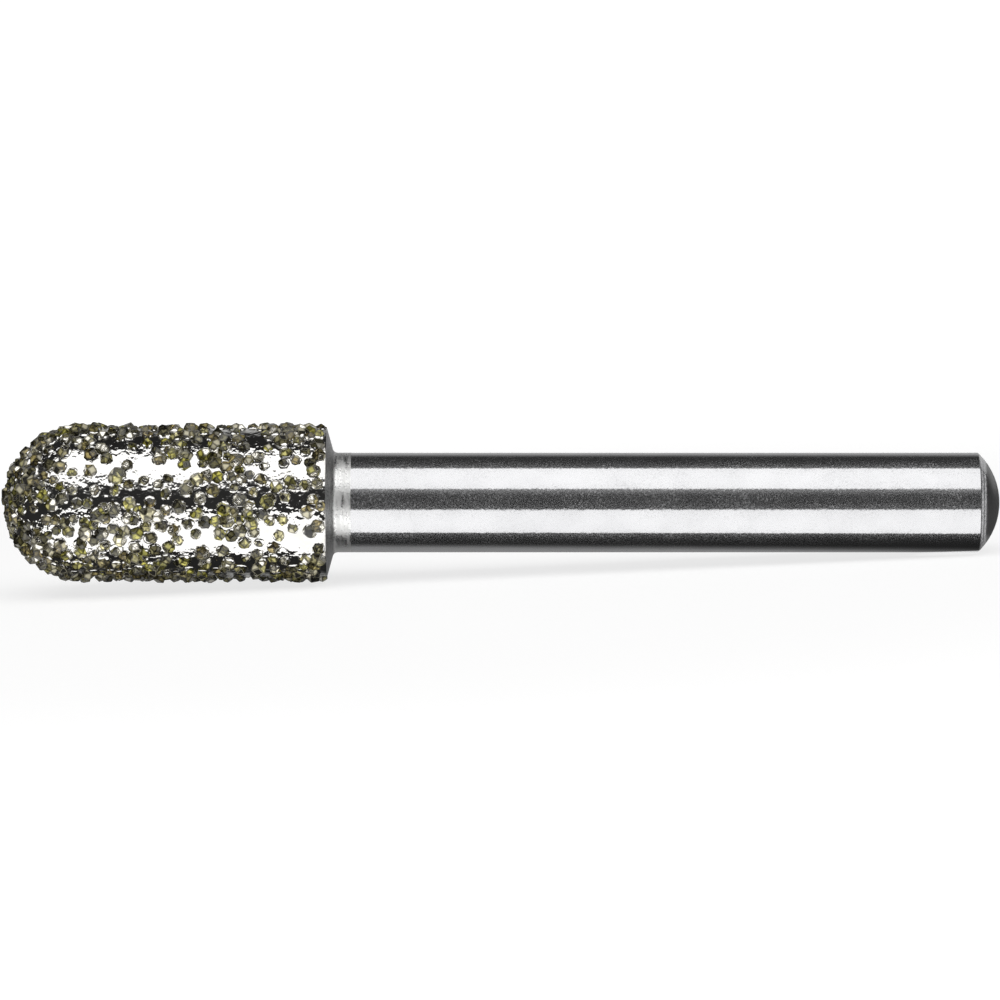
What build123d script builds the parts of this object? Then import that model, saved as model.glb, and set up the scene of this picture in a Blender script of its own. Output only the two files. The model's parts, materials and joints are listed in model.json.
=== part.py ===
from build123d import *
from build123d.topology import SkipClean
import itertools
import math
import os
import random

# Diamond burr, in millimetres. The axis of the tool is X: the head is towards -X, and the shank's
# free end is towards +X. X = 0 is the edge of the plating, where the bare ground shank begins.

# Steel blank, turned from one bar
shank_dia = 6.0
shank_length = 39.0
shank_end_dome = 1.2
shank_end_edge = 0.1
neck_length = 1.25
head_dia = 8.1
head_length = 18.7
back_slope = 15.5

# Nickel bond that is plated over the head and the neck
bond_on_head = 0.41
bond_on_back = 0.25
bond_on_neck = 0.2
bond_fillet = 0.3
bond_flats = 24
nose_rings = 5

# Diamond crystals held in the bond
crystals_per_square_mm = 0.68
crystal_spacing = 0.8
crystal_seed = 7
crystal_faces = 4
crystal_half_width = 0.47
crystal_height = 0.36
crystal_size_spread = 0.15
blunt_cut = 0.55
crystal_lean = 0.2
crystal_root = 0.15
blunt_share = 0.3
crystal_gap_to_back_edge = 0.4
tries_per_crystal = 40

# Sizes that follow from the ones above. The neck is turned down by the thickness of its plating,
# which then ends flush with the shank.
shank_r = shank_dia / 2
neck_r = shank_r - bond_on_neck
head_r = head_dia / 2
back_run_per_mm = math.tan(math.radians(back_slope))
neck_corner_x = -neck_length
back_edge_x = neck_corner_x - (head_r - neck_r) * back_run_per_mm
nose_tip_x = back_edge_x - head_length
nose_centre_x = nose_tip_x + head_r
bond_r = head_r + bond_on_head
bond_tip_x = nose_tip_x - bond_on_head
bond_back_edge_x = neck_corner_x + bond_on_back - (bond_r - neck_r) * back_run_per_mm
bond_neck_corner_x = neck_corner_x + bond_on_back - bond_on_neck * back_run_per_mm


def on_profile(x, r):
    """A point of the turned outline: x along the axis, r from it."""
    return Vector(x, 0, r)


def turned(*edges):
    """A solid turned about X from the closed outline that the edges make."""
    return revolve(make_face(edges), Axis.X)


def on_ball(centre_x, r, angle):
    """A point on a ball's outline, at an angle from the direction of +X."""
    return on_profile(centre_x + r * math.cos(angle), r * math.sin(angle))


def steel_blank():
    """The ball-nosed head core, its steep back cone, the neck and the domed shank, as one turning."""
    tip = on_profile(nose_tip_x, 0)
    nose_middle = on_ball(nose_centre_x, head_r, 3 * math.pi / 4)
    nose_end = on_profile(nose_centre_x, head_r)
    back_edge = on_profile(back_edge_x, head_r)
    neck_corner = on_profile(neck_corner_x, neck_r)
    neck_end = on_profile(0, neck_r)
    shank_start = on_profile(0, shank_r)

    dome_rim_r = shank_r - shank_end_edge
    dome_r = (dome_rim_r**2 + shank_end_dome**2) / (2 * shank_end_dome)
    dome_centre_x = shank_length - dome_r
    dome_rim = on_profile(shank_length - shank_end_dome, dome_rim_r)
    dome_middle = on_ball(dome_centre_x, dome_r, math.asin(dome_rim_r / dome_r) / 2)
    dome_tip = on_profile(shank_length, 0)
    shank_rim = on_profile(dome_rim.X - shank_end_edge, shank_r)
    return turned(
        Edge.make_three_point_arc(tip, nose_middle, nose_end),
        Edge.make_line(nose_end, back_edge),
        Edge.make_line(back_edge, neck_corner),
        Edge.make_line(neck_corner, neck_end),
        Edge.make_line(neck_end, shank_start),
        Edge.make_line(shank_start, shank_rim),
        Edge.make_line(shank_rim, dome_rim),
        Edge.make_three_point_arc(dome_rim, dome_middle, dome_tip),
        Edge.make_line(dome_tip, tip),
    )


def closed_solid(outlines):
    """A solid whose flat faces have these outlines."""
    return Solid(Shell([Face(Wire.make_polygon(outline)) for outline in outlines]))


def flat_sided_head():
    """The nickel's outside over the head, in narrow flats on which the crystals stand."""
    step = math.pi / 2 / (nose_rings + 0.5)
    angles = [math.pi - step * (i + 0.5) for i in range(nose_rings + 1)]
    profile = [on_ball(nose_centre_x, bond_r, angle) for angle in angles] + [on_profile(0, bond_r)]
    turns = [360 * i / bond_flats for i in range(bond_flats)]
    rings = [[point.rotate(Axis.X, turn) for turn in turns] for point in profile]
    outlines = [rings[0], rings[-1]]
    for ring, following in zip(rings, rings[1:]):
        for i in range(bond_flats):
            outlines.append([ring[i], ring[i - 1], following[i - 1], following[i]])
    return closed_solid(outlines)


def space_behind_head():
    """The ring of space round the neck, whose inner outline is the plated cone, fillet and collar."""
    outer_r = 2 * bond_r
    cone_top = on_profile(bond_back_edge_x - (outer_r - bond_r) * back_run_per_mm, outer_r)
    neck_corner = on_profile(bond_neck_corner_x, shank_r)
    collar_end = on_profile(neck_length, shank_r)
    ring_corner = on_profile(neck_length, outer_r)

    up_cone = (cone_top - neck_corner).normalized()
    along_neck = (collar_end - neck_corner).normalized()
    half_corner = math.radians(up_cone.get_angle(along_neck)) / 2
    to_fillet = bond_fillet / math.tan(half_corner)
    fillet_top = neck_corner + up_cone * to_fillet
    fillet_end = neck_corner + along_neck * to_fillet
    to_fillet_middle = bond_fillet / math.sin(half_corner) - bond_fillet
    fillet_middle = neck_corner + (up_cone + along_neck).normalized() * to_fillet_middle
    return turned(
        Edge.make_line(cone_top, fillet_top),
        Edge.make_three_point_arc(fillet_top, fillet_middle, fillet_end),
        Edge.make_line(fillet_end, collar_end),
        Edge.make_line(collar_end, ring_corner),
        Edge.make_line(ring_corner, cone_top),
    )


def crystal(size, blunt):
    """The top of a crystal: steep faces that meet in a point, or that a face across the top cuts off."""
    half_width = crystal_half_width * size
    height = crystal_height * size
    apex = height / blunt_cut if blunt else height

    def section(z):
        r = half_width * (apex - z) / apex
        return [Vector(r, 0, z).rotate(Axis.Z, 360 * i / crystal_faces) for i in range(crystal_faces)]

    base = section(-crystal_root)
    if blunt:
        top = section(height)
        sides = [[base[i - 1], base[i], top[i], top[i - 1]] for i in range(crystal_faces)]
        return closed_solid([base, top] + sides)
    point = Vector(0, 0, apex)
    sides = [[base[i - 1], base[i], point] for i in range(crystal_faces)]
    return closed_solid([base] + sides)


def scattered_seats(rng):
    """Seats on the bond and their outward directions, at random but no nearer than the spacing."""
    last_x = bond_back_edge_x - crystal_gap_to_back_edge
    area = 2 * math.pi * bond_r * (last_x - bond_tip_x)
    wanted = round(crystals_per_square_mm * area)
    seats = []
    grid = {}
    for _ in range(tries_per_crystal * wanted):
        if len(seats) == wanted:
            break
        x = rng.uniform(bond_tip_x, last_x)
        turn = rng.uniform(0, 2 * math.pi)
        past_nose_centre = min(x - nose_centre_x, 0)
        r = math.sqrt(bond_r**2 - past_nose_centre**2)
        seat = (x, r * math.cos(turn), r * math.sin(turn))
        cell = [math.floor(c / crystal_spacing) for c in seat]
        nearby = itertools.product(*[(c - 1, c, c + 1) for c in cell])
        if all(math.dist(seat, other) >= crystal_spacing for n in nearby for other in grid.get(n, ())):
            grid.setdefault(tuple(cell), []).append(seat)
            outward = Vector(past_nose_centre, seat[1], seat[2]).normalized()
            seats.append((Vector(*seat), outward))
    return seats


def crystals():
    """Every crystal at its seat, turned and leant at random, in a few sizes."""
    rng = random.Random(crystal_seed)
    sizes = (1 - crystal_size_spread, 1, 1 + crystal_size_spread)
    pointed = [crystal(size, blunt=False) for size in sizes]
    blunt = [crystal(size, blunt=True) for size in sizes]
    placed = []
    for seat, outward in scattered_seats(rng):
        shape = rng.choice(blunt if rng.random() < blunt_share else pointed)
        across = outward.cross(Vector(0, 0, 1) if abs(outward.Z) < abs(outward.X) else Vector(1, 0, 0))
        facing = across.rotate(Axis((0, 0, 0), outward), rng.uniform(0, 360))
        lean = facing.normalized() * rng.uniform(0, crystal_lean)
        placed.append(shape.moved(Plane(seat, x_dir=facing, z_dir=outward + lean).location))
    return placed


def diamond_coat():
    """The nickel bond with the crystals' tops standing out of it, hollow where the blank is."""
    with SkipClean():
        return flat_sided_head().fuse(*crystals()) - space_behind_head() - steel_blank()


os.makedirs("parts", exist_ok=True)
export_step(steel_blank(), "parts/steel_blank.step")
export_step(diamond_coat(), "parts/diamond_coat.step", write_pcurves=False)
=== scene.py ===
import itertools
import json
import math
import random

import bmesh
import bpy
from mathutils import Matrix, Vector

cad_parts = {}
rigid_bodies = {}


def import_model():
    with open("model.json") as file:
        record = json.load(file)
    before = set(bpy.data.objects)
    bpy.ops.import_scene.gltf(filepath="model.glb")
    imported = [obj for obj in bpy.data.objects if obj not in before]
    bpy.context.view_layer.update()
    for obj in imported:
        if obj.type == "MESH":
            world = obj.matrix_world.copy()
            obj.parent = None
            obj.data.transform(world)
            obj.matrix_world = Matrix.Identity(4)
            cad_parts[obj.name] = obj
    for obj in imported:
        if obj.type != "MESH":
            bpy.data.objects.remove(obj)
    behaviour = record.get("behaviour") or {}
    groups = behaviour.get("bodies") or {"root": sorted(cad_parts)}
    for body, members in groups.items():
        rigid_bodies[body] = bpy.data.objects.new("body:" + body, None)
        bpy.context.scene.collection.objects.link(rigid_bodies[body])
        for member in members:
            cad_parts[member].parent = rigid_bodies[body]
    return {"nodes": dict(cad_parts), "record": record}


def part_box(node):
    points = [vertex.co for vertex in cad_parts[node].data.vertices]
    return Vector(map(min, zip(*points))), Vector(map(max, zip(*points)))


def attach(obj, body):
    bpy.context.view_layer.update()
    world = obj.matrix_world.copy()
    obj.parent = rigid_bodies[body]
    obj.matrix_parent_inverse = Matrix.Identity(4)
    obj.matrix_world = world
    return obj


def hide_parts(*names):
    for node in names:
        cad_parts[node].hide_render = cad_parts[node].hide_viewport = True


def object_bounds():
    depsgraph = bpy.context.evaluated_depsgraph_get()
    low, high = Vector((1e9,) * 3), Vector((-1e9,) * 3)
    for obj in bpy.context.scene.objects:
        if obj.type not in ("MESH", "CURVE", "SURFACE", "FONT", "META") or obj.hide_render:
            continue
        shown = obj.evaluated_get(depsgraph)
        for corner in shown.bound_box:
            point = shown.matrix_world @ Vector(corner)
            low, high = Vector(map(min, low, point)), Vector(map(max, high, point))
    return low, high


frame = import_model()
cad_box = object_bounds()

# Sizes are in metres and the tool's axis is X. What the frame knows is read from it.
MM = 0.001
blank_low, blank_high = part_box("steel_blank")
coat_low, coat_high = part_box("diamond_coat")
shank_r = frame["record"]["mounts"][0]["dims"]["r_mm"] * MM
shank_end_x = blank_high.x
core_r = blank_high.y
core_tip_x = blank_low.x
grit_r = min(-coat_low.y, coat_high.y, -coat_low.z, coat_high.z)

# The plating has the solid model's sizes, but its back edge is rounded
bond_on_head = 0.41 * MM
bond_on_back = 0.25 * MM
bond_on_neck = 0.2 * MM
bond_fillet = 0.3 * MM
back_edge_rounding = 0.07 * MM
neck_corner_x = -1.25 * MM
back_slope = math.radians(15.5)
back_run_per_metre = math.tan(back_slope)
neck_r = shank_r - bond_on_neck
core_back_edge_x = neck_corner_x - (core_r - neck_r) * back_run_per_metre
nose_centre_x = core_tip_x + core_r
bond_r = core_r + bond_on_head
bond_back_edge_x = neck_corner_x + bond_on_back - (bond_r - neck_r) * back_run_per_metre
bond_neck_corner_x = neck_corner_x + bond_on_back - bond_on_neck * back_run_per_metre

# The plating's mesh
turn_segments = 128
nose_steps = 28
side_steps = 60
corner_steps = 6
plating_sharp_angle = math.radians(50)

# The grains
grain_seed = 14
grain_spacing = 0.54 * MM
grain_density = 12 / MM**2
grain_half_size = 0.33 * MM
grain_size_spread = 0.22
grain_gap_to_back_edge = 0.15 * MM
grain_sunk = 0.06 * MM

# A crystal of the solid model is found by its corners, which stand this high over the bond and no
# further apart than this
solid_tip_height = 0.22 * MM
solid_tip_width = 0.45 * MM

# The grains between those crystals follow noise that is longer along the axis: they stand close where
# it is high, and are thinned to a share where it is low. They also stand close all over the nose,
# which fades out over this length before its end, and in the last stretch before the back edge.
patch_size = 2.4 * MM
patch_squeeze = (0.45, 1, 1)
patch_edges = (0.44, 0.56)
thin_patch_share = 0.12
nose_fading = 1.5 * MM
thin_before_edge = 1.1 * MM
close_before_edge = 0.8 * MM

# Each kind of random draw adds its place in this list to the seed
draws = ["scattered", "size", "facing", "crystal", "tint", "collar", "depth", "filled_in"]

# The crystals, in grain half sizes, with the least and the most of what differs between them
crystal_shapes = 8
crystal_stretch = (0.86, 1.14)
crystal_corner_reach = (0.98, 1.16)
one_corner_reach = (0.93, 1.07)
corner_lean = (-0.08, 0.08)
shortest_edge = 0.03

# The nickel that has crept up round a grain, in grain half sizes: its outline from foot to top as
# (distance from the middle, height), and how far it reaches on one side
collar_shapes = 6
collar_corners = 12
collar_outline = [(0, -0.3), (1.3, -0.3), (1.25, -0.02), (1.13, 0.07), (1.02, 0.2), (0.85, 0.26), (0, 0.26)]
collar_reach = (0.84, 1.1)
collar_sharp_angle = math.radians(60)

# The grains' tints, from smoky over brown and yellow-green to nearly clear
grain_tints = [
    (0.0, (0.075, 0.07, 0.042)),
    (0.3, (0.145, 0.132, 0.068)),
    (0.42, (0.22, 0.175, 0.07)),
    (0.56, (0.2, 0.18, 0.078)),
    (0.68, (0.22, 0.205, 0.07)),
    (0.78, (0.24, 0.225, 0.055)),
    (0.88, (0.26, 0.24, 0.05)),
    (0.95, (0.4, 0.37, 0.19)),
    (1.0, (0.6, 0.56, 0.44)),
]

# The picture
picture_width = 60.2 * MM
axis_drop_in_picture = 0.15 * MM
camera_elevation = math.radians(6)
camera_lens = 250
camera_sensor = 36
clip_ratio = 100

# The floor touches the grit, and the shank where its rounded end begins. It glows less near the burr.
shank_end_length = 1.3 * MM
floor_slope = math.atan((grit_r - shank_r) / (shank_end_x - shank_end_length - bond_back_edge_x))
floor_reach = 3.0
glow_near_burr = 0.74
glow_fading = (0.04, 0.16)

# The light. Angles round the axis are in degrees: 0 is level towards the camera, 90 straight up.
world_fill = 0.25
overhead_distance = 0.35
overhead_width = 0.7
overhead_angle = 64.5
overhead_half_angle = 27
overhead_edges = (overhead_angle - overhead_half_angle, overhead_angle + overhead_half_angle)
overhead_strength = 1.53
floor_lamp_strength = 1.46

# The floor's lamp gives the lower light band on the head and the shank. The cards in front of it and under
# the burr bound that band; the one under the burr is painted shadow, standing in for the burr's shade on
# the floor as the metal reflects it. The lifts are over the floor: the cards lie over the lamp, but for a
# dark one under it.
floor_lamp_left = -26 * MM
floor_lamp_right = 45 * MM
floor_lamp_front = -55 * MM
front_card_at_nose = -32 * MM
front_card_at_end = -16 * MM
under_card_at_nose = -4.4 * MM
under_card_at_end = -2.9 * MM
under_card_right = 39.5 * MM
under_card_back = 30 * MM
card_lift = 0.2 * MM
floor_lamp_lift = 0.1 * MM
under_lamp_lift = 0.05 * MM

# The cards further off. The front one reaches up to the overhead lamp's lower edge, as seen from the
# axis, and one behind that lamp reaches as far to both sides as it hangs from the axis.
cards_right = 0.6
cards_left = -cards_right
cards_front = -0.5
cards_behind = 0.5
end_cards_back = 2.0
end_cards_height = 2.0
back_card_height = 0.7
front_card_height = -cards_front * math.tan(math.radians(overhead_edges[0]))
top_card_distance = 0.4
top_card_edges = (90, 130)
top_card_parting = 0.35
lamp_card_reach = 0.42


class Value:
    """A socket of a node tree. Arithmetic on it adds the nodes that work it out."""

    def __init__(self, nodes, socket):
        self.nodes = nodes
        self.socket = socket

    def __add__(self, other):
        return self.nodes.math("ADD", self, other)

    def __sub__(self, other):
        return self.nodes.math("SUBTRACT", self, other)

    def __rsub__(self, other):
        return self.nodes.math("SUBTRACT", other, self)

    def __mul__(self, other):
        return self.nodes.math("MULTIPLY", self, other)

    def __rtruediv__(self, other):
        return self.nodes.math("DIVIDE", other, self)

    def __gt__(self, other):
        return self.nodes.math("GREATER_THAN", self, other)

    def __lt__(self, other):
        return self.nodes.math("LESS_THAN", self, other)

    __radd__ = __add__
    __rmul__ = __mul__

    def output(self, name):
        """Another output of the same node."""
        return Value(self.nodes, find_socket(self.socket.node.outputs, name))


def find_socket(sockets, name):
    """A socket by its identifier, its name or its number."""
    for socket in sockets:
        if socket.identifier == name:
            return socket
    return sockets[name]


class Nodes:
    """The nodes of one tree, shader or geometry."""

    def __init__(self, tree):
        self.tree = tree
        tree.nodes.clear()

    def add(self, kind, sockets=None, output=0, stops=None, **settings):
        """A new node: its settings come first, then a value or a link for each socket."""
        node = self.tree.nodes.new(kind)
        for name, setting in settings.items():
            setattr(node, name, setting)
        if stops:
            self.set_stops(node.color_ramp, stops)
        for name, given in (sockets or {}).items():
            socket = find_socket(node.inputs, name)
            if isinstance(given, Value):
                self.tree.links.new(given.socket, socket)
            else:
                socket.default_value = given
        return Value(self, find_socket(node.outputs, output)) if len(node.outputs) else None

    def set_stops(self, ramp, stops):
        while len(ramp.elements) < len(stops):
            ramp.elements.new(1)
        for element, (position, colour) in zip(ramp.elements, stops):
            element.position = position
            element.color = (*colour, 1)

    def math(self, operation, *values):
        return self.add("ShaderNodeMath", dict(enumerate(values)), operation=operation)

    def between(self, value, low, high, to_low=0.0, to_high=1.0):
        """A smooth step from one value to another while the first runs from low to high."""
        sockets = {"Value": value, "From Min": low, "From Max": high, "To Min": to_low, "To Max": to_high}
        return self.add("ShaderNodeMapRange", sockets, interpolation_type="SMOOTHSTEP")

    def band(self, value, middle, half_width):
        """1 where a value is near the middle, and 0 from half a width away."""
        away = self.math("ABSOLUTE", value - middle)
        return self.between(away, half_width / 2, half_width, 1.0, 0.0)

    def vector_math(self, operation, *vectors):
        return self.add("ShaderNodeVectorMath", dict(enumerate(vectors)), operation=operation)

    def scaled(self, vector, factor):
        return self.add("ShaderNodeVectorMath", {0: vector, "Scale": factor}, operation="SCALE")

    def length(self, vector):
        return self.vector_math("LENGTH", vector).output("Value")

    def part(self, vector, axis):
        """The part of a vector along X, Y or Z."""
        return self.add("ShaderNodeSeparateXYZ", {"Vector": vector}, axis)

    def along_x(self, length):
        """A vector of that length along X."""
        return self.add("ShaderNodeCombineXYZ", {"X": length})

    def noise(self, place, feature, detail, roughness=0.5, squeeze=None):
        """Noise whose blobs are about one feature wide, and longer where the squeeze is under 1."""
        if squeeze:
            place = self.vector_math("MULTIPLY", place, squeeze)
        sockets = {"Vector": place, "Scale": 1 / feature, "Detail": detail, "Roughness": roughness}
        return self.add("ShaderNodeTexNoise", sockets)

    def attribute(self, name):
        return self.add("ShaderNodeAttribute", output="Fac", attribute_name=name)

    def mix_colour(self, factor, a, b, blend="MIX"):
        sockets = {"Factor_Float": factor, "A_Color": a, "B_Color": b}
        return self.add("ShaderNodeMix", sockets, "Result_Color", data_type="RGBA", blend_type=blend)

    def grey(self, value):
        """A colour whose three parts are one number."""
        return self.add("ShaderNodeCombineColor", {"Red": value, "Green": value, "Blue": value})

    def shaded(self, colour, level):
        """A colour times a number."""
        return self.mix_colour(1.0, colour, self.grey(level), "MULTIPLY")

    def bump(self, height, distance, normal=None):
        """A normal bent by a height, on the surface or on a normal that is bent already."""
        sockets = {"Height": height, "Distance": distance}
        if normal:
            sockets["Normal"] = normal
        return self.add("ShaderNodeBump", sockets)

    def joined(self, *geometries):
        """Several geometries as one."""
        together = self.add("GeometryNodeJoinGeometry")
        for geometry in geometries:
            self.tree.links.new(geometry.socket, together.socket.node.inputs["Geometry"])
        return together

    def moved(self, geometry, offset):
        """A geometry whose points have moved by an offset."""
        return self.add("GeometryNodeSetPosition", {"Geometry": geometry, "Offset": offset})


def above_spine(nodes, place):
    """The way out of the head to a place: from the axis, or on the nose from the ball's centre."""
    spine_x = nodes.math("MAXIMUM", nodes.part(place, "X"), nose_centre_x)
    return nodes.vector_math("SUBTRACT", place, nodes.along_x(spine_x))


def new_material(name):
    """A new material, with its nodes and the place on the piece that its patterns follow."""
    material = bpy.data.materials.new(name)
    material.use_nodes = True
    nodes = Nodes(material.node_tree)
    return material, nodes, nodes.add("ShaderNodeTexCoord", output="Object")


def finish_material(nodes, shader):
    nodes.add("ShaderNodeOutputMaterial", {"Surface": shader})


def new_object(name, data):
    """An object in the scene."""
    made = bpy.data.objects.new(name, data)
    bpy.context.scene.collection.objects.link(made)
    return made


# Materials

def ground_steel():
    """Bright ground steel with a duller dome, whose darker colour is painted shade: wheel marks, a haze of
    scratches, flecks and smudges.
    """
    material, nodes, place = new_material("ground_steel")
    clean = (0.63, 0.63, 0.64, 1)
    smudged = (0.59, 0.59, 0.6, 1)
    # The dome's dark grey is painted shade for the dark surroundings it reflects; its rougher finish is
    # real.
    dome_painted_shade = (0.26, 0.26, 0.26, 1)
    to_end = shank_end_x - nodes.part(place, "X")
    # At two rings where the rounded end begins, the scratched layer is not metal, so the steel's grey shows
    # there as a plain lit colour: a painted sheen standing in for the light that edge catches.
    end_rings = nodes.band(to_end, 1.17 * MM, 0.09 * MM) + nodes.band(to_end, 1.0 * MM, 0.08 * MM)
    on_dome = nodes.between(to_end, 0.8 * MM, 0.95 * MM, 1.0, 0.0)
    wheel_rings = nodes.noise(place, 0.07 * MM, detail=3, squeeze=(1, 0.02, 0.02))
    grain = nodes.noise(place, 0.13 * MM, detail=3, roughness=0.6)
    patches = nodes.noise(place, 1.0 * MM, detail=2, squeeze=(0.4, 1, 1))
    smudges = nodes.noise(place, 2.4 * MM, detail=3, roughness=0.55)

    colour = nodes.mix_colour(nodes.between(smudges, 0.35, 0.7), clean, smudged)
    colour = nodes.mix_colour(on_dome, colour, dome_painted_shade)
    wheel_marks = nodes.bump(wheel_rings, 0.0006 * MM)
    polished = nodes.add("ShaderNodeBsdfPrincipled", {
        "Base Color": colour, "Metallic": 1.0, "Roughness": 0.05 + 0.06 * smudges + 0.25 * on_dome,
        "Normal": nodes.bump(grain, 0.003 * MM, wheel_marks),
    })
    scratched = nodes.add("ShaderNodeBsdfPrincipled", {
        "Base Color": colour, "Metallic": 1 - end_rings, "Roughness": 0.42,
        "Normal": nodes.bump(grain, 0.02 * MM),
    })
    flecks = nodes.between(grain, 0.48, 0.72) * nodes.between(patches, 0.4, 0.62, 0.25, 1.0)
    rough_rings = end_rings * nodes.between(grain, 0.35, 0.6, 0.25, 0.6)
    haze = 0.16 + 0.06 * patches + 0.55 * flecks + rough_rings
    finish_material(nodes, nodes.add("ShaderNodeMixShader", {"Fac": haze, 1: polished, 2: scratched}))
    return material


def plated_nickel():
    """Mirror-bright nickel between the grains, satin and grainy on the back cone and the neck."""
    material, nodes, place = new_material("nickel_bond")
    clean = (0.8, 0.79, 0.77, 1)
    stained = (0.68, 0.67, 0.64, 1)
    cone_grey = (0.38, 0.38, 0.38, 1)
    cone_dark = (0.12, 0.12, 0.12, 1)
    neck_bright = (0.8, 0.8, 0.79, 1)
    neck_mark = (0.25, 0.25, 0.25, 1)
    x = nodes.part(place, "X")
    behind_head = nodes.between(x, bond_back_edge_x - 0.1 * MM, bond_back_edge_x + 0.05 * MM)
    on_neck = nodes.between(x, bond_neck_corner_x - 0.05 * MM, bond_neck_corner_x + 0.1 * MM)
    swells = nodes.noise(place, 1.6 * MM, detail=1)
    waves = nodes.noise(place, 0.5 * MM, detail=2)
    streaks = nodes.noise(place, 0.2 * MM, detail=2, squeeze=(1, 0.2, 0.2))
    grain = nodes.noise(place, 0.1 * MM, detail=3, roughness=0.65)
    stains = nodes.noise(place, 0.9 * MM, detail=3)

    head = nodes.mix_colour(nodes.between(stains, 0.4, 0.75), clean, stained)
    cone = nodes.mix_colour(nodes.between(grain, 0.4, 0.65), cone_grey, cone_dark)
    marks = nodes.between(grain, 0.5, 0.68) * nodes.between(streaks, 0.4, 0.6)
    neck = nodes.mix_colour(marks, neck_bright, neck_mark)
    colour = nodes.mix_colour(behind_head, head, nodes.mix_colour(on_neck, cone, neck))
    streaks_on_neck = on_neck * nodes.between(streaks, 0.35, 0.65, 0.1, -0.15)
    swollen = nodes.bump(swells, 0.1 * MM * (1 - behind_head))
    ripples = nodes.bump(waves, 0.11 * MM * (1 - 0.93 * behind_head), swollen)
    shader = nodes.add("ShaderNodeBsdfPrincipled", {
        "Base Color": colour, "Metallic": 1.0,
        "Roughness": 0.04 + 0.05 * stains + 0.35 * behind_head + streaks_on_neck,
        "Normal": nodes.bump(grain * behind_head, 0.024 * MM, ripples),
    })
    finish_material(nodes, shader)
    return material


def diamond():
    """Synthetic diamond: each grain has its tint, and some facets throw the light straight back. Facets and
    the cells within them are made lighter and darker by painted light and shade, some facets are painted
    highlights, and the facets' rims and the grains' bases near the bond are darkened by painted shade.
    """
    material, nodes, place = new_material("diamond_grit")
    # A light cream for the facets that carry a painted highlight.
    painted_highlight_colour = (0.6, 0.56, 0.4, 1)
    mirror_facet = (0.9, 0.87, 0.78, 1)
    tint = nodes.attribute("tint")
    rim = nodes.attribute("rim")

    # The facets with the highest numbers are painted highlights in a light cream, and from a higher one on
    # they are mirrors. The tint shuffles the numbers, so that two grains of one shape differ.
    shuffle = 5.3
    painted_highlight_from = 0.7
    mirror_from = 0.78
    soft = 0.02
    facet = nodes.math("FRACT", nodes.attribute("facet") + shuffle * tint)
    # Cells within each grain, lighter and darker at random: painted light and shade standing in for light
    # seen through the crystal. They also vary the roughness.
    cells = nodes.add("ShaderNodeTexVoronoi", {"Vector": place, "Scale": 1 / (0.2 * MM)}, "Color")
    painted_light_cells = nodes.add("ShaderNodeSeparateColor", {"Color": cells}, "Red")
    pits = nodes.noise(place, 0.15 * MM, detail=2, roughness=0.6)

    body = nodes.add("ShaderNodeValToRGB", {"Fac": tint}, stops=grain_tints)
    # A grain darkens where it comes down to the bond: painted shade for the shade round its base.
    height = nodes.length(above_spine(nodes, place)) - bond_r
    sunk = nodes.between(height, -0.05 * MM, 0.15 * MM, 0.16, 1.0)
    # Every facet darkens towards its rim: painted shade standing in for the dark outlines that light
    # through a crystal gives.
    edges = nodes.between(rim, 0.45, 0.9, 1.0, 0.28)
    # Each facet, and each cell in it, is made lighter or darker: painted light and shade standing in for
    # light refracted and reflected within the crystal.
    shade = nodes.between(facet, 0.0, painted_highlight_from, 0.25, 1.6) * nodes.between(painted_light_cells, 0.0, 1.0, 0.25, 1.95)
    painted_highlight = nodes.between(facet, painted_highlight_from, painted_highlight_from + soft)
    inside_rim = nodes.between(rim, 0.75, 0.8, 1.0, 0.0)
    mirror = nodes.between(facet, mirror_from, mirror_from + soft) * inside_rim
    colour = nodes.mix_colour(painted_highlight, nodes.shaded(body, shade), painted_highlight_colour)
    colour = nodes.mix_colour(mirror, colour, mirror_facet)
    shader = nodes.add("ShaderNodeBsdfPrincipled", {
        "Base Color": nodes.shaded(colour, sunk * edges), "Metallic": mirror,
        "Roughness": 0.04 + 0.1 * painted_light_cells, "Normal": nodes.bump(pits, 0.03 * MM), "IOR": 1.6,
    })
    finish_material(nodes, shader)
    return material


# The turned plating

def plain_mesh(name, bm):
    """The mesh that a bmesh holds. The bmesh is freed."""
    mesh = bpy.data.meshes.new(name)
    bm.to_mesh(mesh)
    bm.free()
    return mesh


def skinned(name, rings, sharp_angle):
    """A closed smooth mesh over rings of points, of which the first and the last are single points."""
    bm = bmesh.new()
    rings = [[bm.verts.new(point) for point in ring] for ring in rings]
    for ring, following in itertools.pairwise(rings):
        for i in range(max(len(ring), len(following))):
            corners = [ring[i % len(ring)], ring[(i - 1) % len(ring)]]
            corners += [following[(i - 1) % len(following)], following[i % len(following)]]
            bm.faces.new(dict.fromkeys(corners))
    bmesh.ops.recalc_face_normals(bm, faces=bm.faces)
    mesh = plain_mesh(name, bm)
    mesh.shade_smooth()
    mesh.set_sharp_from_angle(angle=sharp_angle)
    return mesh


def turns_for(r, steps):
    """Angles evenly round a circle, or a single one where the radius is nought."""
    return [2 * math.pi * i / steps for i in range(steps)] if r else [0]


def arc(centre_x, centre_r, radius, start, end, steps):
    """Points (x, r) on an arc, whose angles are measured from +X towards the outside."""
    angles = [start + (end - start) * i / steps for i in range(steps + 1)]
    return [(centre_x + radius * math.cos(a), centre_r + radius * math.sin(a)) for a in angles]


def rounded_corner(before, corner, after, radius):
    """The arc of that radius that rounds a corner of the outline."""
    corner = Vector(corner)
    back = (Vector(before) - corner).normalized()
    on = (Vector(after) - corner).normalized()
    half = back.angle(on) / 2
    centre = corner + (back + on).normalized() * (radius / math.sin(half))
    start = corner + back * (radius / math.tan(half)) - centre
    end = corner + on * (radius / math.tan(half)) - centre
    first = math.atan2(start.y, start.x)
    return arc(centre.x, centre.y, radius, first, first - start.angle_signed(end), corner_steps)


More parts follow.
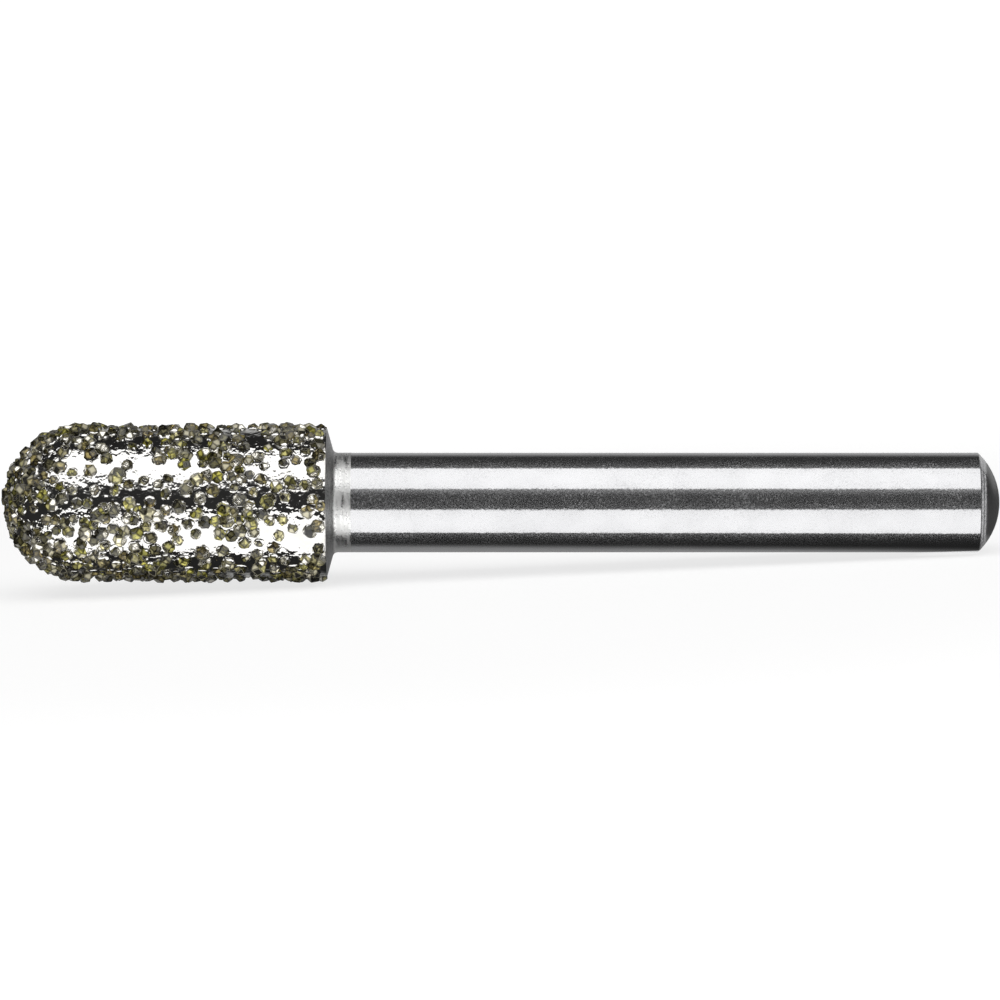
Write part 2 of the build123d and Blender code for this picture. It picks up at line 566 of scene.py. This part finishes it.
def plating_outline():
    """The plating's section from the nose's tip over the outside to its edge, and back along the core."""
    nose_end = (nose_centre_x, bond_r)
    back_edge = (bond_back_edge_x, bond_r)
    neck_corner = (bond_neck_corner_x, shank_r)
    shank_start = (0, shank_r)
    outside = arc(nose_centre_x, 0, bond_r, math.pi, math.pi / 2, nose_steps)
    side_length = bond_back_edge_x - 2 * back_edge_rounding - nose_centre_x
    outside += [(nose_centre_x + side_length * i / side_steps, bond_r) for i in range(1, side_steps + 1)]
    outside += rounded_corner(nose_end, back_edge, neck_corner, back_edge_rounding)
    outside += rounded_corner(back_edge, neck_corner, shank_start, bond_fillet)
    inside = [shank_start, (0, neck_r), (neck_corner_x, neck_r), (core_back_edge_x, core_r)]
    inside += arc(nose_centre_x, 0, core_r, math.pi / 2, math.pi, nose_steps)
    outline = outside + inside
    for pole in (0, -1):
        outline[pole] = (outline[pole][0], 0)
    return outline


def turned(name, outline):
    """A closed mesh turned about X from an outline (x, r) that starts and ends on the axis."""
    rings = []
    for x, r in outline:
        rings.append([(x, r * math.cos(t), r * math.sin(t)) for t in turns_for(r, turn_segments)])
    return skinned(name, rings, plating_sharp_angle)


# The grains and the nickel collars round them

def crystal_mesh(number):
    """A cubo-octahedral crystal, about one unit from its middle to each face, no two alike."""
    rng = random.Random(number)
    bm = bmesh.new()
    bmesh.ops.create_cube(bm, size=2)
    stretch = [rng.uniform(*crystal_stretch) for _ in range(3)]
    bmesh.ops.scale(bm, vec=stretch, verts=bm.verts)
    reach = rng.uniform(*crystal_corner_reach)
    for corner in itertools.product((-1, 1), repeat=3):
        lean = Vector([rng.uniform(*corner_lean) for _ in range(3)])
        outward = (Vector(corner).normalized() + lean).normalized()
        cut_off_corner(bm, outward * reach * rng.uniform(*one_corner_reach), outward)
    bmesh.ops.remove_doubles(bm, verts=bm.verts, dist=shortest_edge)
    bmesh.ops.recalc_face_normals(bm, faces=bm.faces)
    mark_facets(bm, rng)
    return plain_mesh(f"crystal_{number}", bm)


def cut_off_corner(bm, place, outward):
    """Cut off what lies outward of a place, and close the cut with a flat face."""
    whole = bm.verts[:] + bm.edges[:] + bm.faces[:]
    cut = bmesh.ops.bisect_plane(bm, geom=whole, plane_co=place, plane_no=outward, clear_outer=True)
    edges = [e for e in cut["geom_cut"] if isinstance(e, bmesh.types.BMEdge)]
    bmesh.ops.contextual_create(bm, geom=edges)


def mark_facets(bm, rng):
    """A random number for each facet, and for each point 1 on a rim or 0 in a facet's middle."""
    rim = bm.verts.layers.float.new("rim")
    facet = bm.faces.layers.float.new("facet")
    for vert in bm.verts:
        vert[rim] = 1
    for face in bm.faces[:]:
        shade = rng.random()
        middle = bmesh.ops.poke(bm, faces=[face])
        middle["verts"][0][rim] = 0
        for triangle in middle["faces"]:
            triangle[facet] = shade


def collar_mesh(number):
    """The low uneven mound of nickel round a grain of unit size, on +Z, with its foot under the surface."""
    rng = random.Random(number)
    spread = [rng.uniform(*collar_reach) for _ in range(collar_corners)]
    rings = []
    for r, z in collar_outline:
        turns = turns_for(r, collar_corners)
        rings.append([(r * s * math.cos(t), r * s * math.sin(t), z) for t, s in zip(turns, spread)])
    return skinned(f"collar_{number}", rings, collar_sharp_angle)


def shape_collection(name, meshes):
    """A collection of shapes to make copies of, which isn't in the scene itself."""
    collection = bpy.data.collections.new(name)
    for mesh in meshes:
        collection.objects.link(bpy.data.objects.new(mesh.name, mesh))
    return collection


tree_inputs = {
    "Spacing": ("NodeSocketFloat", grain_spacing),
    "Density": ("NodeSocketFloat", grain_density),
    "Grain half size": ("NodeSocketFloat", grain_half_size),
    "Size spread": ("NodeSocketFloat", grain_size_spread),
    "Patch size": ("NodeSocketFloat", patch_size),
    "Last seat": ("NodeSocketFloat", bond_back_edge_x - grain_gap_to_back_edge),
    "Seed": ("NodeSocketInt", grain_seed),
}


def new_tree(name):
    """A geometry tree with the inputs that the grains and their collars share."""
    tree = bpy.data.node_groups.new(name, "GeometryNodeTree")
    tree.interface.new_socket("Geometry", in_out="INPUT", socket_type="NodeSocketGeometry")
    tree.interface.new_socket("Geometry", in_out="OUTPUT", socket_type="NodeSocketGeometry")
    for label, (kind, _) in tree_inputs.items():
        tree.interface.new_socket(label, in_out="INPUT", socket_type=kind)
    nodes = Nodes(tree)
    return nodes, nodes.add("NodeGroupInput")


def finish_tree(nodes, geometry, material):
    """The tree, whose result is that geometry in one material."""
    finished = nodes.add("GeometryNodeSetMaterial", {"Geometry": geometry, "Material": material})
    nodes.add("NodeGroupOutput", {"Geometry": finished})
    return nodes.tree


def seed_for(given, draw):
    """The seed of one kind of draw."""
    return given.output("Seed") + draws.index(draw)


def random_draw(nodes, given, draw, low, high, kind="FLOAT"):
    """A random number, whole number or vector for each grain, the same in both trees."""
    ending = {"FLOAT": "_001", "INT": "_002", "FLOAT_VECTOR": ""}[kind]
    return nodes.add("FunctionNodeRandomValue", {
        f"Min{ending}": low, f"Max{ending}": high,
        "ID": nodes.add("GeometryNodeInputIndex"), "Seed": seed_for(given, draw),
    }, f"Value{ending}", data_type=kind)


def seats(nodes, given):
    """Seats where the solid model's crystals stand, and more between them in loose patches."""
    place = nodes.add("GeometryNodeInputPosition")
    x = nodes.part(place, "X")
    outward = above_spine(nodes, place)
    reach = nodes.length(outward)

    solid = nodes.add("GeometryNodeObjectInfo", {"Object": frame["nodes"]["diamond_coat"]}, "Geometry")
    high_up = reach > bond_r + solid_tip_height
    corners = nodes.add("GeometryNodeMeshToPoints", {"Mesh": solid, "Selection": high_up})
    tips = nodes.add("GeometryNodeMergeByDistance", {"Geometry": corners, "Distance": solid_tip_width})
    to_bond = nodes.scaled(nodes.vector_math("NORMALIZE", outward), bond_r - reach)
    main = nodes.moved(tips, to_bond)

    on_outside = reach > (core_r + bond_r) / 2
    ahead = x < given.output("Last seat")
    blobs = nodes.noise(place, given.output("Patch size"), detail=1, squeeze=patch_squeeze)
    patches = nodes.between(blobs, *patch_edges, thin_patch_share, 1.0)
    on_nose = nodes.between(x, nose_centre_x - nose_fading, nose_centre_x, 1.0, 0.0)
    at_edge = nodes.between(x, bond_back_edge_x - thin_before_edge, bond_back_edge_x - close_before_edge)
    close = nodes.math("MAXIMUM", patches, on_nose + at_edge)

    def with_more(standing, draw):
        """The seats that stand, and others strewn between them that keep the spacing."""
        scattered = nodes.add("GeometryNodeDistributePointsOnFaces", {
            "Mesh": given, "Selection": on_outside * ahead, "Distance Min": given.output("Spacing"),
            "Density Max": given.output("Density"), "Density Factor": close, "Seed": seed_for(given, draw),
        }, distribute_method="POISSON")
        to_nearest = nodes.add("GeometryNodeProximity", {"Target": standing}, "Distance",
                               target_element="POINTS")
        crowded = to_nearest < given.output("Spacing")
        others = nodes.add("GeometryNodeDeleteGeometry", {"Geometry": scattered, "Selection": crowded})
        return nodes.joined(standing, others)

    return with_more(with_more(main, "scattered"), "filled_in")


def copies_on(nodes, given, points, shapes, draw, rotation):
    """A copy of one of the shapes on each point, as large as the grain there."""
    spread = given.output("Size spread")
    share = random_draw(nodes, given, "size", 1 - spread, 1 + spread)
    shape = nodes.add("GeometryNodeCollectionInfo", {"Collection": shapes, "Separate Children": True})
    picked = random_draw(nodes, given, draw, 0, len(shapes.objects) - 1, "INT")
    return nodes.add("GeometryNodeInstanceOnPoints", {
        "Points": points, "Instance": shape, "Pick Instance": True, "Instance Index": picked,
        "Rotation": rotation, "Scale": given.output("Grain half size") * share,
    })


def ahead_of_cone(nodes, geometry, gap):
    """A geometry whose points past the head's back edge are moved back to it, but for a gap."""
    x = nodes.part(nodes.add("GeometryNodeInputPosition"), "X")
    past_edge = nodes.math("MINIMUM", bond_back_edge_x - gap - x, 0.0)
    return nodes.moved(geometry, nodes.along_x(past_edge))


def grains_tree(shapes, material):
    """Crystals half sunk in the plating, turned at random, each with its tint."""
    nodes, given = new_tree("grains")
    from_spine = above_spine(nodes, nodes.add("GeometryNodeInputPosition"))
    outward = nodes.vector_math("NORMALIZE", from_spine)
    depth = random_draw(nodes, given, "depth", 0.0, 2 * grain_sunk)
    points = nodes.moved(seats(nodes, given), nodes.scaled(outward, 0.0 - depth))
    full_turns = (2 * math.pi,) * 3
    facing = random_draw(nodes, given, "facing", (0, 0, 0), full_turns, "FLOAT_VECTOR")
    rotation = nodes.add("FunctionNodeEulerToRotation", {"Euler": facing})
    copies = copies_on(nodes, given, points, shapes, "crystal", rotation)
    tinted = nodes.add("GeometryNodeStoreNamedAttribute", {
        "Geometry": copies, "Name": "tint", "Value": random_draw(nodes, given, "tint", 0.0, 1.0),
    }, data_type="FLOAT", domain="INSTANCE")
    solid = nodes.add("GeometryNodeRealizeInstances", {"Geometry": tinted})
    too_far = nodes.math("MINIMUM", grit_r - nodes.length(from_spine), 0.0)
    level = nodes.moved(solid, nodes.scaled(outward, too_far))
    return finish_tree(nodes, ahead_of_cone(nodes, level, 0.0), material)


def plating_tree(collars, material):
    """The turned plating with a collar of crept-up nickel round the seat of every grain."""
    nodes, given = new_tree("plating")
    outward = above_spine(nodes, nodes.add("GeometryNodeInputPosition"))
    upright = nodes.add("FunctionNodeAlignRotationToVector", {"Vector": outward}, axis="Z")
    copies = copies_on(nodes, given, seats(nodes, given), collars, "collar", upright)
    solid = nodes.add("GeometryNodeRealizeInstances", {"Geometry": copies})
    mounds = ahead_of_cone(nodes, solid, back_edge_rounding)
    return finish_tree(nodes, nodes.joined(given, mounds), material)


def grown(name, base_mesh, tree):
    """A plain piece with what a geometry tree makes of a mesh."""
    holder = new_object(f"{name}_base", base_mesh)
    modifier = holder.modifiers.new(name, "NODES")
    modifier.node_group = tree
    for socket in tree.interface.items_tree:
        if socket.in_out == "INPUT" and socket.name in tree_inputs:
            modifier[socket.identifier] = tree_inputs[socket.name][1]
    evaluated = holder.evaluated_get(bpy.context.evaluated_depsgraph_get())
    mesh = bpy.data.meshes.new_from_object(evaluated)
    mesh.name = name
    bpy.data.objects.remove(holder)
    return new_object(name, mesh)


# The studio

def place_camera():
    """A long lens towards the burr's side, from slightly above, as in the photograph."""
    centre = Vector(((cad_box[0].x + cad_box[1].x) / 2, 0, axis_drop_in_picture))
    towards = Vector((0, -math.cos(camera_elevation), math.sin(camera_elevation)))
    distance = picture_width / camera_sensor * camera_lens
    data = bpy.data.cameras.new("camera")
    data.lens = camera_lens
    data.sensor_width = camera_sensor
    data.clip_start = distance / clip_ratio
    data.clip_end = distance * clip_ratio
    camera = new_object("camera", data)
    camera.location = centre + towards * distance
    camera.rotation_euler = (-towards).to_track_quat("-Z", "Y").to_euler()
    bpy.context.scene.camera = camera


def softbox(name, centre, aim, width, depth, strength):
    """A soft lamp that looks as bright as its strength, where 1 is white."""
    data = bpy.data.lights.new(name, "AREA")
    data.shape = "RECTANGLE"
    data.size = width
    data.size_y = depth
    data.energy = strength * math.pi * width * depth
    away = (Vector(centre) - Vector(aim)).normalized()
    along = (Vector((1, 0, 0)) - away * away.x).normalized()
    turn = Matrix((along, away.cross(along), away)).transposed()
    lamp = new_object(name, data)
    lamp.matrix_world = Matrix.Translation(centre) @ turn.to_4x4()
    lamp.visible_camera = False


def seen_directly(nodes):
    """1 for what the camera sees, also by way of gloss or glass, and 0 for light that falls on things."""
    path = nodes.add("ShaderNodeLightPath")
    seen = path.output("Is Camera Ray") + path.output("Is Glossy Ray") + path.output("Is Transmission Ray")
    return nodes.math("MINIMUM", seen, 1.0)


def white_surroundings():
    """A world that is white to look at, and lights the burr only faintly."""
    world = bpy.data.worlds.new("surroundings")
    world.use_nodes = True
    bpy.context.scene.world = world
    nodes = Nodes(world.node_tree)
    strength = seen_directly(nodes) * (1 - world_fill) + world_fill
    background = nodes.add("ShaderNodeBackground", {"Color": (1, 1, 1, 1), "Strength": strength})
    nodes.add("ShaderNodeOutputWorld", {"Surface": background})


def plane(name, corners, material):
    """A sheet of the studio, which isn't part of the burr."""
    mesh = bpy.data.meshes.new(name)
    mesh.from_pydata(corners, [], [(0, 1, 2, 3)])
    mesh.materials.append(material)
    made = new_object(name, mesh)
    return made


def around_axis(distance, angle, x):
    """A point seen from the axis at that angle: 0 is level towards the camera, 90 degrees straight up."""
    return (x, -distance * math.cos(math.radians(angle)), distance * math.sin(math.radians(angle)))


def on_floor(x, y, lift=card_lift):
    """A point just over the floor."""
    return (x, y, floor_height(x) + lift)


def floor_height(x):
    """The floor under the axis: it touches the grit and the shank's end, so the axis stays level."""
    return -grit_r / math.cos(floor_slope) + (x - bond_back_edge_x) * math.tan(floor_slope)


def oblong(left, right, front, back):
    """The corners (x, y) of an oblong on the floor."""
    return [(left, front), (right, front), (right, back), (left, back)]


def floor_material():
    """Paper that glows to look white, a little less near the burr, where it keeps the shadow."""
    material, nodes, place = new_material("paper")
    glow = nodes.between(nodes.length(place), *glow_fading, glow_near_burr, 1.0) * seen_directly(nodes)
    paper = nodes.add("ShaderNodeBsdfPrincipled", {
        "Base Color": (0.3, 0.3, 0.3, 1), "Roughness": 0.9, "Specular IOR Level": 0.0,
        "Emission Color": nodes.grey(glow), "Emission Strength": 1.0,
    })
    finish_material(nodes, paper)
    return material


def lay_floor():
    outline = oblong(-floor_reach, floor_reach, -floor_reach, floor_reach)
    plane("floor", [on_floor(x, y, lift=0) for x, y in outline], floor_material())


def card_material(name, axis, first, last):
    """A glowing card. At two places along an axis its brightness is given, as (place, brightness)."""
    material, nodes, place = new_material(name)
    level = nodes.between(nodes.part(place, axis), first[0], last[0], first[1], last[1])
    finish_material(nodes, nodes.add("ShaderNodeEmission", {"Color": nodes.grey(level)}))
    return material


def flag(name, corners, material):
    """A card that only gloss and glass see. It gives the metal its dark bands."""
    card = plane(name, corners, material)
    card.visible_camera = False
    card.visible_diffuse = False
    card.visible_shadow = False


def floor_card(name, outline, material, lift=card_lift):
    """A card that lies on the floor, with its corners given as (x, y)."""
    flag(name, [on_floor(x, y, lift) for x, y in outline], material)


def standing_card(name, start, end, height, material):
    """A card that stands on the floor from one place (x, y) to another."""
    flag(name, [on_floor(*start), on_floor(*end), (*end, height), (*start, height)], material)


def hanging_card(name, distance, angles, left, right, material):
    """A card along the axis that covers the angles from the first to the last."""
    places = [(angles[0], left), (angles[0], right), (angles[1], right), (angles[1], left)]
    flag(name, [around_axis(distance, angle, x) for angle, x in places], material)


def hang_flags():
    """Dark and grey cards in front, above, behind, at both ends and on the floor round the burr."""
    dark = card_material("dark_card", "Y", (0.0, 0.026), (1.0, 0.026))
    front = card_material("card_in_front", "Z", (0.2, 0.028), (0.38, 0.2))
    above = card_material("card_above", "Y", (0.0, 0.2), (0.06, 0.02))
    above_end = card_material("card_above_end", "X", (0.3, 0.012), (0.6, 0.35))
    # The card under the burr, dark in front and grey further back, is painted shadow: it stands in for the
    # burr's shade on the floor beneath it, which only gloss sees.
    under = card_material("card_under", "Y", (-1.5 * MM, 0.02), (0.0, 0.32))
    end = card_material("end_card", "Y", (-0.2, 0.14), (0.6, 0.03))
    behind = card_material("card_behind", "Z", (0.1, 0.55), (0.5, 0.02))

    front_left, front_right = (cards_left, cards_front), (cards_right, cards_front)
    behind_left, behind_right = (cards_left, cards_behind), (cards_right, cards_behind)
    standing_card("flag_camera", front_left, front_right, front_card_height, front)
    floor_card("flag_camera_foot", [
        (floor_lamp_left, cards_front), (floor_lamp_right, cards_front),
        (floor_lamp_right, front_card_at_end), (floor_lamp_left, front_card_at_nose),
    ], dark)
    floor_card("flag_under", [
        (floor_lamp_left, under_card_at_nose), (under_card_right, under_card_at_end),
        (under_card_right, under_card_back), (floor_lamp_left, under_card_back),
    ], under)
    under_end = oblong(under_card_right, floor_lamp_right, under_card_at_end, under_card_back)
    floor_card("flag_under_end", under_end, end)
    for name, left, right, card in (
        ("flag_above", cards_left, top_card_parting, above),
        ("flag_above_end", top_card_parting, cards_right, above_end),
    ):
        hanging_card(name, top_card_distance, top_card_edges, left, right, card)
    standing_card("flag_nose", front_left, (cards_left, end_cards_back), end_cards_height, dark)
    standing_card("flag_shank_end", front_right, (cards_right, end_cards_back), end_cards_height, end)
    floor_card("flag_nose_foot", oblong(cards_left, floor_lamp_left, cards_front, end_cards_back), dark)
    floor_card("flag_end_foot", oblong(floor_lamp_right, cards_right, cards_front, end_cards_back), end)
    hanging_card("flag_over_lamp", lamp_card_reach, overhead_edges, -lamp_card_reach, lamp_card_reach, dark)
    under_lamp = oblong(floor_lamp_left, floor_lamp_right, floor_lamp_front, under_card_at_end)
    floor_card("flag_under_lamp", under_lamp, dark, under_lamp_lift)
    standing_card("flag_behind", behind_left, behind_right, back_card_height, behind)


def light_studio():
    """White surroundings, a softbox overhead and another on the floor in front of the burr."""
    bpy.context.scene.view_settings.view_transform = "Standard"
    white_surroundings()
    centre = around_axis(overhead_distance, overhead_angle, 0)
    depth = 2 * overhead_distance * math.tan(math.radians(overhead_half_angle))
    softbox("overhead_softbox", centre, (0, 0, 0), overhead_width, depth, overhead_strength)

    middle_x = (floor_lamp_left + floor_lamp_right) / 2
    middle_y = (floor_lamp_front + under_card_at_end) / 2
    centre = Vector(on_floor(middle_x, middle_y, floor_lamp_lift))
    up = Vector((-math.sin(floor_slope), 0, math.cos(floor_slope)))
    width = floor_lamp_right - floor_lamp_left
    depth = under_card_at_end - floor_lamp_front
    softbox("floor_softbox", centre, centre + up, width, depth, floor_lamp_strength)


def dress_burr():
    """The blank gets its finish, and two grown pieces take the place of the solid model's coat."""
    blank = frame["nodes"]["steel_blank"]
    blank.data.materials.clear()
    blank.data.materials.append(ground_steel())

    plating = turned("plating", plating_outline())
    crystals = shape_collection("crystals", [crystal_mesh(i) for i in range(crystal_shapes)])
    collars = shape_collection("collars", [collar_mesh(i) for i in range(collar_shapes)])
    nickel = grown("nickel_bond", plating, plating_tree(collars, plated_nickel()))
    grit = grown("diamond_grit", plating, grains_tree(crystals, diamond()))
    for piece in (nickel, grit):
        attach(piece, "root")
        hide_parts("diamond_coat")


dress_burr()
lay_floor()
hang_flags()
light_studio()
place_camera()
